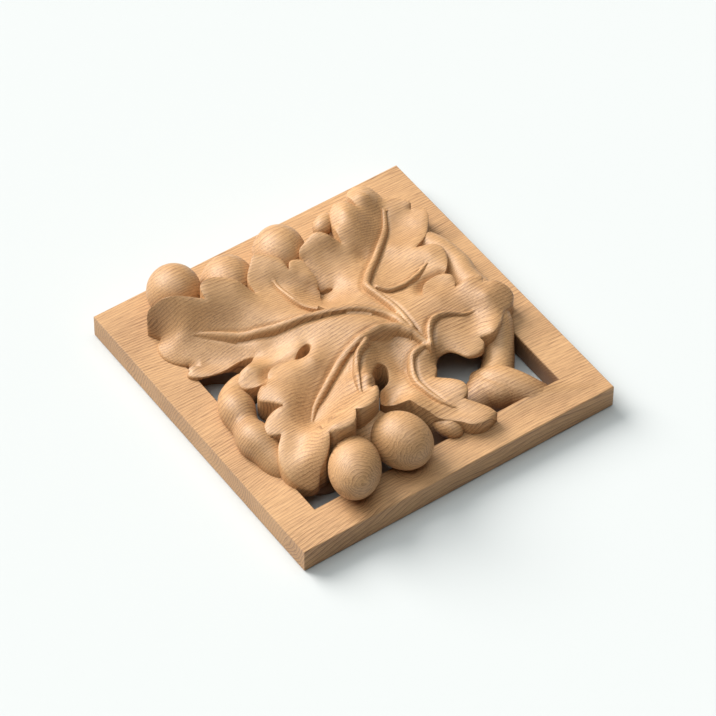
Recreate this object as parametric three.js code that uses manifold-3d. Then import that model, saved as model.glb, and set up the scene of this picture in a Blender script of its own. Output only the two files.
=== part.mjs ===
import * as THREE from 'three';
import { mergeVertices } from 'three/addons/utils/BufferGeometryUtils.js';
import Module from 'manifold-3d';

// Driving dimensions, in millimetres
const SIDE = 100;
const FRAME_THICKNESS = 7.5;
const BORDER = 10.5;
const CARVING_REACH = 50;
const LEAF_CELL = 3.6;
const RIM_STEPS = 3;
const VEIN_STEPS = 2;
const VEIN_ROOT = 1.2;
const BRANCH_STEPS = 2;
const BRANCH_FACES = 8;
const ACORN_FACES = 14;
const ACORN_RINGS = 8;
const WELD = 0.002;

// Shape of a vein's section, from one side to the other: share of the half width, share of the rise
const VEIN_SECTION = [[-1, -1], [-0.55, 0.75], [0, 1], [0.55, 0.75], [1, -1]];

// How far the leaf's face may pass beside the points it is bent through, in shares of the reach
const FACE_SOFTNESS = 0.0004;

// The carving is written as shares of its reach from the middle, with heights above the frame's face.
// Each point stands where a slanting line of sight meets the frame's face, and it lies back along
// that line at its own height, so a height can change without moving the outline as it is seen.
const SIGHT_X = 0.517;
const SIGHT_Y = 0.730;

// Rim of the leaf, clockwise. Each scallop starts at its notch and runs to the next one.
const RIM = [
  // left lobe, upper scallop
  [[-0.455, 0.268, 0.08], [-0.52, 0.283, 0.06], [-0.62, 0.278, 0.05], [-0.72, 0.292, 0.04],
    [-0.79, 0.325, 0.03], [-0.818, 0.352, 0.02], [-0.8, 0.395, 0.02]],
  // upper left lobe
  [[-0.76, 0.425, 0.04], [-0.81, 0.455, 0.02], [-0.845, 0.505, 0.015], [-0.855, 0.565, 0.015],
    [-0.83, 0.63, 0.02]],
  [[-0.785, 0.665, 0.03], [-0.797, 0.72, 0.05], [-0.78, 0.795, 0.11], [-0.72, 0.868, 0.19],
    [-0.63, 0.89, 0.25], [-0.55, 0.872, 0.28], [-0.475, 0.815, 0.28]],
  [[-0.425, 0.765, 0.265], [-0.4, 0.845, 0.29], [-0.345, 0.876, 0.3], [-0.27, 0.845, 0.28],
    [-0.205, 0.765, 0.25]],
  // upper middle lobe
  [[-0.182, 0.65, 0.19], [-0.165, 0.745, 0.21], [-0.09, 0.832, 0.23], [-0.03, 0.88, 0.24],
    [0.03, 0.835, 0.24], [0.072, 0.765, 0.225]],
  [[0.066, 0.69, 0.21], [0.1, 0.73, 0.21], [0.135, 0.722, 0.2]],
  [[0.163, 0.7, 0.19], [0.185, 0.765, 0.21], [0.25, 0.802, 0.22], [0.345, 0.826, 0.24],
    [0.385, 0.775, 0.23]],
  // upper right lobe
  [[0.402, 0.68, 0.17], [0.43, 0.8, 0.17], [0.48, 0.9, 0.18], [0.545, 0.948, 0.19],
    [0.603, 0.925, 0.2]],
  [[0.632, 0.868, 0.18], [0.635, 0.965, 0.16], [0.7, 0.99, 0.15], [0.765, 0.955, 0.15],
    [0.785, 0.88, 0.13]],
  [[0.79, 0.83, 0.12], [0.83, 0.81, 0.12], [0.875, 0.765, 0.12], [0.897, 0.722, 0.12]],
  [[0.865, 0.68, 0.1], [0.915, 0.665, 0.1], [0.933, 0.615, 0.11], [0.87, 0.52, 0.11],
    [0.81, 0.465, 0.12]],
  [[0.725, 0.428, 0.14], [0.77, 0.415, 0.14], [0.82, 0.395, 0.14], [0.845, 0.345, 0.14],
    [0.82, 0.27, 0.14], [0.77, 0.21, 0.15]],
  // right lobe
  [[0.72, 0.183, 0.15], [0.762, 0.155, 0.17], [0.755, 0.115, 0.16]],
  [[0.727, 0.072, 0.16], [0.79, 0.085, 0.18], [0.85, 0.082, 0.18], [0.892, 0.055, 0.17]],
  [[0.872, 0.018, 0.17], [0.93, -0.01, 0.17], [0.962, -0.08, 0.15], [0.955, -0.15, 0.12],
    [0.905, -0.205, 0.11], [0.845, -0.222, 0.12], [0.78, -0.275, 0.14], [0.7, -0.31, 0.15]],
  [[0.628, -0.297, 0.13], [0.618, -0.35, 0.11], [0.56, -0.388, 0.1], [0.49, -0.378, 0.1],
    [0.455, -0.325, 0.1], [0.425, -0.285, 0.1], [0.37, -0.275, 0.09], [0.33, -0.31, 0.085],
    [0.3, -0.36, 0.085]],
  // lower lobe
  [[0.262, -0.395, 0.085], [0.33, -0.455, 0.12], [0.366, -0.515, 0.13], [0.345, -0.575, 0.12]],
  [[0.3, -0.602, 0.11], [0.345, -0.675, 0.1], [0.375, -0.735, 0.09]],
  [[0.385, -0.785, 0.08], [0.3, -0.803, 0.09], [0.225, -0.775, 0.09]],
  [[0.195, -0.735, 0.09], [0.15, -0.69, 0.09], [0.106, -0.64, 0.1], [0.09, -0.56, 0.13],
    [0.069, -0.5, 0.15]],
  [[0.057, -0.45, 0.16], [-0.003, -0.436, 0.15], [-0.05, -0.42, 0.135]],
  // round the lower eye, from the lower lobe's face up to the lower left lobe's
  [[-0.085, -0.395, 0.12], [-0.066, -0.352, 0.11], [-0.02, -0.308, 0.1], [0.035, -0.283, 0.1],
    [0.065, -0.245, 0.095], [0.079, -0.2, 0.1], [0.061, -0.163, 0.115], [0.029, -0.168, 0.135],
    [0, -0.186, 0.18], [-0.013, -0.225, 0.24], [-0.025, -0.275, 0.29], [-0.05, -0.318, 0.31],
    [-0.1, -0.348, 0.325], [-0.1475, -0.356, 0.33], [-0.185, -0.351, 0.33]],
  // lower left lobe
  [[-0.213, -0.338, 0.32], [-0.235, -0.375, 0.33], [-0.275, -0.408, 0.33], [-0.34, -0.415, 0.32],
    [-0.39, -0.404, 0.31]],
  [[-0.414, -0.388, 0.3], [-0.455, -0.45, 0.26], [-0.53, -0.525, 0.19], [-0.615, -0.59, 0.11],
    [-0.67, -0.655, 0.045], [-0.72, -0.675, 0.015], [-0.755, -0.64, 0.02], [-0.777, -0.55, 0.06],
    [-0.76, -0.43, 0.1], [-0.71, -0.34, 0.13]],
  [[-0.635, -0.262, 0.15], [-0.69, -0.235, 0.14], [-0.7, -0.2, 0.14], [-0.65, -0.14, 0.15],
    [-0.59, -0.108, 0.16]],
  [[-0.515, -0.103, 0.18], [-0.555, -0.05, 0.17], [-0.6, 0, 0.15], [-0.575, 0.045, 0.15],
    [-0.53, 0.078, 0.16]],
  // left lobe, lower scallop
  [[-0.48, 0.09, 0.15], [-0.55, 0.085, 0.13], [-0.62, 0.11, 0.11], [-0.625, 0.165, 0.11],
    [-0.57, 0.22, 0.13], [-0.51, 0.24, 0.15]],
];

// Places inside the lobes where the leaf's face swells or sinks
const SWELLS = [
  [-0.55, 0.68, 0.185], [-0.33, 0.64, 0.215], [-0.3, 0.5, 0.18], [-0.45, 0.56, 0.16],
  [-0.7, 0.62, 0.11], [-0.68, 0.37, 0.035], [-0.55, 0.38, 0.07], [-0.4, 0.32, 0.11],
  [-0.4, 0.2, 0.11], [-0.43, 0.075, 0.17], [-0.33, 0.075, 0.175], [-0.2, 0.07, 0.18],
  [-0.05, 0.74, 0.21], [0.28, 0.68, 0.175], [0.46, 0.79, 0.2], [0.55, 0.86, 0.225],
  [0.5, 0.66, 0.165], [0.6, 0.74, 0.165], [0.69, 0.91, 0.18], [0.84, 0.6, 0.11],
  [0.75, 0.33, 0.15], [0.82, -0.08, 0.18], [0.6, 0.06, 0.17], [-0.6, -0.4, 0.14],
  [-0.68, -0.53, 0.1], [-0.3, -0.35, 0.27], [-0.1, -0.28, 0.25], [0.2, -0.08, 0.12],
  [0.1, -0.08, 0.125], [0.15, -0.28, 0.07], [0.25, -0.42, 0.1],
  [0.11, -0.4, 0.11], [0.07, 0.5, 0.12], [0.26, 0.45, 0.13],
];

// Eyes pierced between the lobes
const EYES = [
  [[-0.279, 0.126, 0.15], [-0.23, 0.169, 0.16], [-0.17, 0.184, 0.16], [-0.155, 0.165, 0.17],
    [-0.2, 0.124, 0.17], [-0.24, 0.117, 0.16]],
  [[0.119, 0.48, 0.12], [0.145, 0.463, 0.11], [0.178, 0.435, 0.1], [0.15, 0.43, 0.1],
    [0.12, 0.452, 0.105]],
];

// Raised veins: middle line, then widths and heights spread evenly along it
const VEINS = [
  {
    line: [[-0.62, 0.575, 0.11], [-0.5, 0.486, 0.12], [-0.4, 0.421, 0.13], [-0.3, 0.382, 0.145],
      [-0.2, 0.357, 0.17], [-0.071, 0.336, 0.19], [0.05, 0.3, 0.2], [0.164, 0.254, 0.2],
      [0.257, 0.179, 0.185], [0.314, 0.086, 0.17], [0.336, -0.036, 0.17], [0.36, -0.12, 0.17],
      [0.38, -0.193, 0.17]],
    widths: [0.012, 0.04, 0.045, 0.045, 0.05, 0.06, 0.05, 0.04],
    heights: [0.004, 0.02, 0.03, 0.03, 0.03, 0.03, 0.03, 0.02],
  },
  {
    line: [[0.021, 0.346, 0.17], [-0.021, 0.393, 0.16], [-0.046, 0.464, 0.16], [-0.056, 0.55, 0.165],
      [-0.054, 0.65, 0.18]],
    widths: [0.03, 0.03, 0.02],
    heights: [0.02, 0.02, 0.005],
  },
  {
    line: [[0.357, -0.05, 0.17], [0.364, 0.071, 0.17], [0.361, 0.143, 0.17], [0.343, 0.25, 0.17],
      [0.332, 0.336, 0.165], [0.379, 0.393, 0.135], [0.49, 0.48, 0.11], [0.58, 0.551, 0.095],
      [0.6625, 0.63, 0.09], [0.73, 0.735, 0.1]],
    widths: [0.04, 0.045, 0.045, 0.04, 0.026],
    heights: [0.03, 0.03, 0.03, 0.026, 0.012],
  },
  {
    line: [[0.375, 0.3, 0.16], [0.406, 0.251, 0.15], [0.489, 0.231, 0.14], [0.579, 0.244, 0.135],
      [0.692, 0.2925, 0.13]],
    widths: [0.03, 0.035, 0.03, 0.015],
    heights: [0.02, 0.025, 0.02, 0.005],
  },
  {
    line: [[0.335, -0.06, 0.17], [0.286, 0, 0.18], [0.2, 0.032, 0.19], [0.114, 0.037, 0.19],
      [0.021, 0.02, 0.18], [-0.079, -0.021, 0.155], [-0.179, -0.082, 0.13], [-0.286, -0.15, 0.115],
      [-0.393, -0.221, 0.11], [-0.4475, -0.274, 0.115]],
    widths: [0.06, 0.06, 0.05, 0.045, 0.04, 0.015],
    heights: [0.03, 0.035, 0.035, 0.03, 0.025, 0.005],
  },
  {
    line: [[0.1, 0.007, 0.19], [0.014, -0.036, 0.195], [-0.05, -0.107, 0.205], [-0.1, -0.193, 0.23],
      [-0.125, -0.271, 0.27]],
    widths: [0.03, 0.03, 0.015],
    heights: [0.02, 0.02, 0.004],
  },
  {
    line: [[0.38, -0.193, 0.17], [0.412, -0.129, 0.17], [0.464, -0.074, 0.16], [0.521, -0.057, 0.155],
      [0.586, -0.077, 0.15], [0.65, -0.122, 0.14], [0.698, -0.132, 0.13]],
    widths: [0.04, 0.04, 0.03, 0.015],
    heights: [0.03, 0.03, 0.02, 0.004],
  },
  {
    line: [[0.36, -0.16, 0.17], [0.305, -0.175, 0.16], [0.235, -0.215, 0.125], [0.179, -0.293, 0.095],
      [0.151, -0.395, 0.095], [0.166, -0.5, 0.1], [0.2, -0.5975, 0.1], [0.2225, -0.635, 0.09]],
    widths: [0.03, 0.042, 0.04, 0.034, 0.012],
    heights: [0.016, 0.028, 0.028, 0.022, 0.004],
  },
];

// Stalk under the leaf: middle line in plan with its height, and the radius there
const STALKS = [
  // left stalk, from its knuckle under the left lobe
  [[-0.56, 0.08, 0.01, 0.085], [-0.66, 0.085, 0.02, 0.085], [-0.728, 0.053, 0.03, 0.09],
    [-0.763, -0.036, 0.05, 0.092], [-0.786, -0.144, 0.04, 0.084], [-0.801, -0.244, 0.05, 0.093],
    [-0.793, -0.322, 0.04, 0.096], [-0.777, -0.418, 0, 0.086], [-0.727, -0.495, -0.06, 0.08],
    [-0.65, -0.55, -0.09, 0.08], [-0.55, -0.58, -0.12, 0.08]],
  // right stalk, curving in under the lower lobe
  [[0.76, 0.39, 0.02, 0.085], [0.795, 0.27, 0.03, 0.085], [0.805, 0.16, 0.03, 0.083],
    [0.785, 0.06, 0.03, 0.085], [0.79, -0.06, 0.03, 0.088], [0.78, -0.18, 0.03, 0.09],
    [0.735, -0.3, 0.025, 0.09], [0.675, -0.4, -0.01, 0.09], [0.612, -0.488, -0.04, 0.088],
    [0.54, -0.56, -0.05, 0.1], [0.45, -0.6, -0.07, 0.11], [0.35, -0.62, -0.08, 0.1],
    [0.25, -0.6, -0.09, 0.09]],
  // its foot, flaring out on to the corner of the frame
  [[0.45, -0.52, -0.09, 0.08], [0.51, -0.59, -0.04, 0.1], [0.56, -0.66, -0.05, 0.11],
    [0.63, -0.75, -0.08, 0.105], [0.7, -0.83, -0.13, 0.1]],
];

// Acorns and buds: middle as seen, with its height, then the radius, the half length,
// and the heading of the long axis in plan and its dip, in degrees
const ACORNS = [
  [-0.54, 0.9, 0.12, 0.15, 0.155, 240, 0],
  [-0.27, 0.783, 0.08, 0.15, 0.165, 240, 0],
  [0.08, 0.805, 0.08, 0.15, 0.175, 240, 0],
  [-0.455, -0.675, 0.14, 0.14, 0.185, 235, 0],
  [-0.145, -0.662, 0.13, 0.15, 0.175, 290, 5],
  [-0.25, -0.54, 0.06, 0.13, 0.16, 290, 5],
  [0.112, -0.722, 0.02, 0.062, 0.09, 291, 5],
  [0.4, 0.845, 0.12, 0.055, 0.08, 30, 0],
];

// Hollows cut up into the leaf from below, written like the acorns
const HOLLOWS = [
  // under the tongue of the lower left lobe
  [-0.77, -0.78, -0.18, 0.15, 0.2, 55, 0],
  // under the right lobe's lower edge
  [0.388, -0.453, -0.1, 0.19, 0.19, 0, 0],
  // under the left lobe, and between it and the lower left lobe
  [-0.75, 0.14, -0.1, 0.13, 0.2, 140, 0],
  [-0.66, -0.09, -0.1, 0.15, 0.19, 60, 0],
  [-0.68, -0.28, -0.1, 0.12, 0.16, 60, 0],
];

const wasm = await Module();
wasm.setup();

// A point of the carving in millimetres
function place([x, y, z]) {
  return new THREE.Vector3(
    (x - z * SIGHT_X) * CARVING_REACH,
    (y - z * SIGHT_Y) * CARVING_REACH,
    FRAME_THICKNESS + z * CARVING_REACH,
  );
}

function smooth(points, steps) {
  const curve = new THREE.CatmullRomCurve3(points, false, 'centripetal');
  return curve.getPoints((points.length - 1) * steps);
}

function spread(values, share) {
  const at = share * (values.length - 1);
  const low = Math.min(Math.floor(at), values.length - 2);
  return THREE.MathUtils.lerp(values[low], values[low + 1], at - low);
}

function toSolid(geometry) {
  const bare = new THREE.BufferGeometry();
  bare.setAttribute('position', geometry.getAttribute('position'));
  if (geometry.index) bare.setIndex(geometry.index);
  const merged = mergeVertices(bare, WELD / 2);
  return new wasm.Manifold(new wasm.Mesh({
    numProp: 3,
    vertProperties: new Float32Array(merged.getAttribute('position').array),
    triVerts: new Uint32Array(merged.index.array),
  }));
}

// The solid's surface with its points rounded, and without the faces that rounding closes up
function toGeometry(solid) {
  const mesh = solid.getMesh();
  const geometry = new THREE.BufferGeometry();
  const rounded = mesh.vertProperties.map((value) => Math.round(value / WELD) * WELD);
  geometry.setAttribute('position', new THREE.BufferAttribute(rounded, mesh.numProp));
  geometry.setIndex(new THREE.BufferAttribute(mesh.triVerts, 1));
  const welded = mergeVertices(geometry, WELD / 2);
  const faces = new Map();
  for (let start = 0; start < welded.index.count; start += 3) {
    const face = [0, 1, 2].map((corner) => welded.index.getX(start + corner));
    if (new Set(face).size === 3) {
      const key = [...face].sort((a, b) => a - b).join();
      if (faces.has(key)) faces.delete(key);
      else faces.set(key, face);
    }
  }
  welded.setIndex([...faces.values()].flat());
  return welded;
}

// A closed solid through rings of points, each ring with the same number of points
function sweep(rings) {
  const size = rings[0].length;
  const positions = rings.flat().flatMap((p) => [p.x, p.y, p.z]);
  const index = [];
  for (let ring = 0; ring < rings.length - 1; ring += 1) {
    for (let side = 0; side < size; side += 1) {
      const a = ring * size + side;
      const b = ring * size + (side + 1) % size;
      index.push(a, b, a + size, b, b + size, a + size);
    }
  }
  const last = (rings.length - 1) * size;
  for (let side = 1; side < size - 1; side += 1) {
    index.push(0, side + 1, side);
    index.push(last, last + side, last + side + 1);
  }
  const geometry = new THREE.BufferGeometry();
  geometry.setAttribute('position', new THREE.Float32BufferAttribute(positions, 3));
  geometry.setIndex(index);
  return toSolid(geometry);
}

// The outline of the leaf from notch to notch
function rimPoints() {
  const points = [];
  RIM.forEach((scallop, index) => {
    const nextNotch = RIM[(index + 1) % RIM.length][0];
    const curve = smooth([...scallop, nextNotch].map(place), RIM_STEPS);
    points.push(...curve.slice(0, -1));
  });
  return points;
}

function eyePoints(eye) {
  const curve = new THREE.CatmullRomCurve3(eye.map(place), true, 'centripetal');
  return curve.getPoints(eye.length * RIM_STEPS).slice(0, -1);
}

// A thin plate bent through the given points, as a function of x and y
function bentPlate(places) {
  const points = places.map((p) => p.clone().divideScalar(CARVING_REACH));
  const count = points.length;
  const size = count + 3;
  const bend = (ax, ay, bx, by) => {
    const square = (ax - bx) ** 2 + (ay - by) ** 2;
    return square > 0 ? square * Math.log(square) : 0;
  };
  const rows = points.map((p, row) => {
    const values = points.map((q) => bend(p.x, p.y, q.x, q.y));
    values[row] += FACE_SOFTNESS;
    return [...values, 1, p.x, p.y, p.z];
  });
  rows.push([...points.map(() => 1), 0, 0, 0, 0]);
  rows.push([...points.map((p) => p.x), 0, 0, 0, 0]);
  rows.push([...points.map((p) => p.y), 0, 0, 0, 0]);
  for (let pivot = 0; pivot < size; pivot += 1) {
    let best = pivot;
    for (let row = pivot + 1; row < size; row += 1) {
      if (Math.abs(rows[row][pivot]) > Math.abs(rows[best][pivot])) best = row;
    }
    [rows[pivot], rows[best]] = [rows[best], rows[pivot]];
    for (let row = pivot + 1; row < size; row += 1) {
      const factor = rows[row][pivot] / rows[pivot][pivot];
      for (let column = pivot; column <= size; column += 1) {
        rows[row][column] -= factor * rows[pivot][column];
      }
    }
  }
  const weights = new Array(size).fill(0);
  for (let row = size - 1; row >= 0; row -= 1) {
    let rest = rows[row][size];
    for (let column = row + 1; column < size; column += 1) {
      rest -= rows[row][column] * weights[column];
    }
    weights[row] = rest / rows[row][row];
  }
  return (x, y) => {
    const across = x / CARVING_REACH;
    const up = y / CARVING_REACH;
    let height = weights[count] + weights[count + 1] * across + weights[count + 2] * up;
    points.forEach((p, index) => {
      height += weights[index] * bend(across, up, p.x, p.y);
    });
    return height * CARVING_REACH;
  };
}

// A slab from the back plane up to the leaf's face, over the whole reach of the carving
function faceSlab(faceHeight, reach) {
  const cells = Math.ceil((2 * reach) / LEAF_CELL);
  const across = cells + 1;
  const positions = [];
  for (let row = 0; row <= cells; row += 1) {
    for (let column = 0; column <= cells; column += 1) {
      const x = -reach + (2 * reach * column) / cells;
      const y = -reach + (2 * reach * row) / cells;
      positions.push(x, y, faceHeight(x, y));
    }
  }
  const base = across * across;
  for (let index = 0; index < base; index += 1) {
    positions.push(positions[index * 3], positions[index * 3 + 1], 0);
  }
  const index = [];
  for (let row = 0; row < cells; row += 1) {
    for (let column = 0; column < cells; column += 1) {
      const a = row * across + column;
      const c = a + across;
      index.push(a, a + 1, c + 1, a, c + 1, c);
      index.push(base + a, base + c + 1, base + a + 1, base + a, base + c, base + c + 1);
    }
  }
  const edge = [];
  for (let step = 0; step < cells; step += 1) edge.push(step);
  for (let step = 0; step < cells; step += 1) edge.push(step * across + cells);
  for (let step = cells; step > 0; step -= 1) edge.push(cells * across + step);
  for (let step = cells; step > 0; step -= 1) edge.push(step * across);
  edge.forEach((a, step) => {
    const b = edge[(step + 1) % edge.length];
    index.push(a, base + a, b, b, base + a, base + b);
  });
  const geometry = new THREE.BufferGeometry();
  geometry.setAttribute('position', new THREE.Float32BufferAttribute(positions, 3));
  geometry.setIndex(index);
  return toSolid(geometry);
}

function prism(outline, holes, height) {
  const points = outline.map((p) => new THREE.Vector2(p.x, p.y));
  if (THREE.ShapeUtils.isClockWise(points)) points.reverse();
  const shape = new THREE.Shape(points);
  holes.forEach((hole) => shape.holes.push(new THREE.Path(hole.map((p) => new THREE.Vector2(p.x, p.y)))));
  return toSolid(new THREE.ExtrudeGeometry(shape, { depth: height, bevelEnabled: false }));
}

function leafBlade(faceHeight, rim, eyes) {
  const tallest = FRAME_THICKNESS + CARVING_REACH;
  const reach = Math.max(...rim.map((p) => Math.max(Math.abs(p.x), Math.abs(p.y)))) + LEAF_CELL;
  return faceSlab(faceHeight, reach).intersect(prism(rim, eyes, tallest));
}

// A low rounded ridge on the leaf's face, sunk a little into it
function vein({ line, widths, heights }, faceHeight) {
  const middle = smooth(line.map(place), VEIN_STEPS);
  const rings = middle.map((point, index) => {
    const before = middle[Math.max(index - 1, 0)];
    const after = middle[Math.min(index + 1, middle.length - 1)];
    const along = new THREE.Vector2(after.x - before.x, after.y - before.y).normalize();
    const share = index / (middle.length - 1);
    const halfWidth = (spread(widths, share) * CARVING_REACH) / 2;
    const rise = spread(heights, share) * CARVING_REACH;
    return VEIN_SECTION.map(([side, up]) => {
      const x = point.x + along.y * side * halfWidth;
      const y = point.y - along.x * side * halfWidth;
      const lift = up > 0 ? up * rise : -VEIN_ROOT;
      return new THREE.Vector3(x, y, faceHeight(point.x, point.y) + lift);
    });
  });
  return sweep(rings);
}

function stalk(route) {
  const points = route.map(([x, y, z]) => new THREE.Vector3(
    x * CARVING_REACH,
    y * CARVING_REACH,
    FRAME_THICKNESS + z * CARVING_REACH,
  ));
  const radii = route.map((point) => point[3] * CARVING_REACH);
  const middle = smooth(points, BRANCH_STEPS);
  const up = new THREE.Vector3(0, 0, 1);
  const rings = middle.map((point, index) => {
    const before = middle[Math.max(index - 1, 0)];
    const after = middle[Math.min(index + 1, middle.length - 1)];
    const along = after.clone().sub(before).normalize();
    const across = along.clone().cross(up).normalize();
    const over = across.clone().cross(along);
    const radius = spread(radii, index / (middle.length - 1));
    const ring = [];
    for (let face = 0; face < BRANCH_FACES; face += 1) {
      const turn = -(face / BRANCH_FACES) * 2 * Math.PI;
      ring.push(point.clone()
        .addScaledVector(across, Math.cos(turn) * radius)
        .addScaledVector(over, Math.sin(turn) * radius));
    }
    return ring;
  });
  return sweep(rings);
}

// An acorn, a bud or a hollow: an egg lying along its heading, its end lowered by its dip
function egg([x, y, z, radius, halfLength, heading, dip]) {
  const middle = place([x, y, z]);
  const geometry = new THREE.SphereGeometry(CARVING_REACH, ACORN_FACES, ACORN_RINGS);
  geometry.scale(radius, halfLength, radius);
  geometry.rotateZ(-Math.PI / 2);
  geometry.rotateY(THREE.MathUtils.degToRad(dip));
  geometry.rotateZ(THREE.MathUtils.degToRad(heading));
  geometry.translate(middle.x, middle.y, middle.z);
  return toSolid(geometry);
}

function square(half) {
  return [[-half, -half], [half, -half], [half, half], [-half, half]]
    .map(([x, y]) => new THREE.Vector3(x, y, 0));
}

function squareFrame() {
  return prism(square(SIDE / 2), [square(SIDE / 2 - BORDER)], FRAME_THICKNESS);
}

// The points the leaf's face is bent through
function facePoints(rim) {
  const rimKeys = rim.filter((point, index) => index % RIM_STEPS === 0);
  const eyeKeys = EYES.flat().map(place);
  const veinKeys = VEINS.flatMap(({ line }) => line.map(place));
  return [...rimKeys, ...eyeKeys, ...veinKeys, ...SWELLS.map(place)];
}

function rosette() {
  const rim = rimPoints();
  const faceHeight = bentPlate(facePoints(rim));
  const leaf = leafBlade(faceHeight, rim, EYES.map(eyePoints));
  const carved = HOLLOWS.reduce((solid, entry) => solid.subtract(egg(entry)), leaf);
  const joined = [
    ...VEINS.map((entry) => vein(entry, faceHeight)),
    ...ACORNS.map(egg),
    ...STALKS.map(stalk),
  ].reduce((solid, other) => solid.add(other), carved);
  const aboveTheBack = prism(square(SIDE), [], SIDE);
  const solid = squareFrame().add(joined.intersect(aboveTheBack));
  const mesh = new THREE.Mesh(
    toGeometry(solid),
    new THREE.MeshStandardMaterial({ color: 0xd8aa7c, roughness: 0.6 }),
  );
  mesh.name = 'rosette';
  return mesh;
}

const part = new THREE.Group();
part.add(rosette());

export default part;
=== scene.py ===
import math

import bpy
import numpy as np
from mathutils import Matrix, Vector
from mathutils.geometry import delaunay_2d_cdt


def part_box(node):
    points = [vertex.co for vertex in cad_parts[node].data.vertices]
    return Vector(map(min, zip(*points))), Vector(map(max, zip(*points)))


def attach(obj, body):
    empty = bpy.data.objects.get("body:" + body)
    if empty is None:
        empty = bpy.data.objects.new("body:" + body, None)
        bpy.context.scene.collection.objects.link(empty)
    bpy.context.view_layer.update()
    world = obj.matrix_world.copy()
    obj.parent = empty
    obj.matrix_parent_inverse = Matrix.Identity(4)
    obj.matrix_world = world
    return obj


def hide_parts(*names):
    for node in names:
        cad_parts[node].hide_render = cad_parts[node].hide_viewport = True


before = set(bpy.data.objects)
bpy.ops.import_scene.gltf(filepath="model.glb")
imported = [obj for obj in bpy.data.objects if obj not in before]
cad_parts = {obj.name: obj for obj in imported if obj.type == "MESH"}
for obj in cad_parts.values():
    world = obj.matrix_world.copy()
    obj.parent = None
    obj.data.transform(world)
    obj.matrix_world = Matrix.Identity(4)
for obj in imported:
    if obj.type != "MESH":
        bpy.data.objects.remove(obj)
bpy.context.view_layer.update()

# Sizes, in shares of the carving's reach from the middle; the model's own box gives the reach
low_corner, high_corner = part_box("rosette")
REACH = (high_corner.x - low_corner.x) / 2
FRAME_THICKNESS = 0.15
WINDOW = 0.79
FRAME_ARRIS = 0.004
RIM_ARRIS = 0.009
SHOULDER = 0.005
SHOULDER_REACH = 0.02
CREASE_REACH = 0.04
CREASE_WIDTH = 0.003
VEIN_FADE = 0.02

# Share of a quarter round that is carved off the leaf's rim
ARRIS_DEPTH = 0.8

# Shares of a crease's step by which one side rises and the other sinks. The step ends at CREASE_END
# times CREASE_REACH from the line.
CREASE_RISE = 0.15
CREASE_SINK = 0.85
CREASE_END = 3

# Groove beside a vein: depth as a share of the vein's height, then place and width in half widths
GROOVE_DEPTH = 0.28
GROOVE_PLACE = 1.25
GROOVE_WIDTH = 0.5

# How softly the leaf's face is bent through its points; none would hold it to each of them
FACE_SOFTNESS = 0.0004

# Low knots along the stalks: their rise as a share of each stalk's radius, and their number per reach
KNOT_RISES = [0.08, 0.02, 0.0]
KNOTS = 4.5

# Fineness of the mesh: distances between points, steps from one given point to the next, faces and
# rings of the round forms, and the angle in degrees over which an edge stays sharp
LEAF_SPACING = 0.0082
VEIN_SPACING = 0.010
STALK_SPACING = 0.02
RIM_STEPS = 10
STALK_STEPS = 14
STALK_FACES = 40
ACORN_FACES = 72
ACORN_RINGS = 36
SHARP_ANGLE = 38

# Rows of points beside a rim, in arrises, across a vein, in half widths, and beside a crease, in widths
RIM_ROWS = (0.25, 1)
VEIN_ROWS = (-1.6, -1.05, -0.8, -0.45, 0, 0.45, 0.8, 1.05, 1.6)
CREASE_ROWS = (-2, -1, 1, 2)

# How far rows keep off a rim: its own, in shares of the first one's distance, and the others, in arrises
RIM_ROW_CLEARANCE = 0.9
VEIN_ROW_CLEARANCE = 1.3

# How far the even grid keeps off an arris, in spacings, a vein, in half widths, and a crease, in widths
GRID_RIM_CLEARANCE = 0.45
GRID_VEIN_CLEARANCE = 1.75
GRID_CREASE_CLEARANCE = 2.6

# Lengths too short to matter, places handled at a time, and digits by which two corners are the same
TINY = 1e-9
BATCH = 4000
DIGITS = 6

# The slanting line of sight along which the carving's points are given, as in the solids
SIGHT_X = 0.517
SIGHT_Y = 0.730

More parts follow.
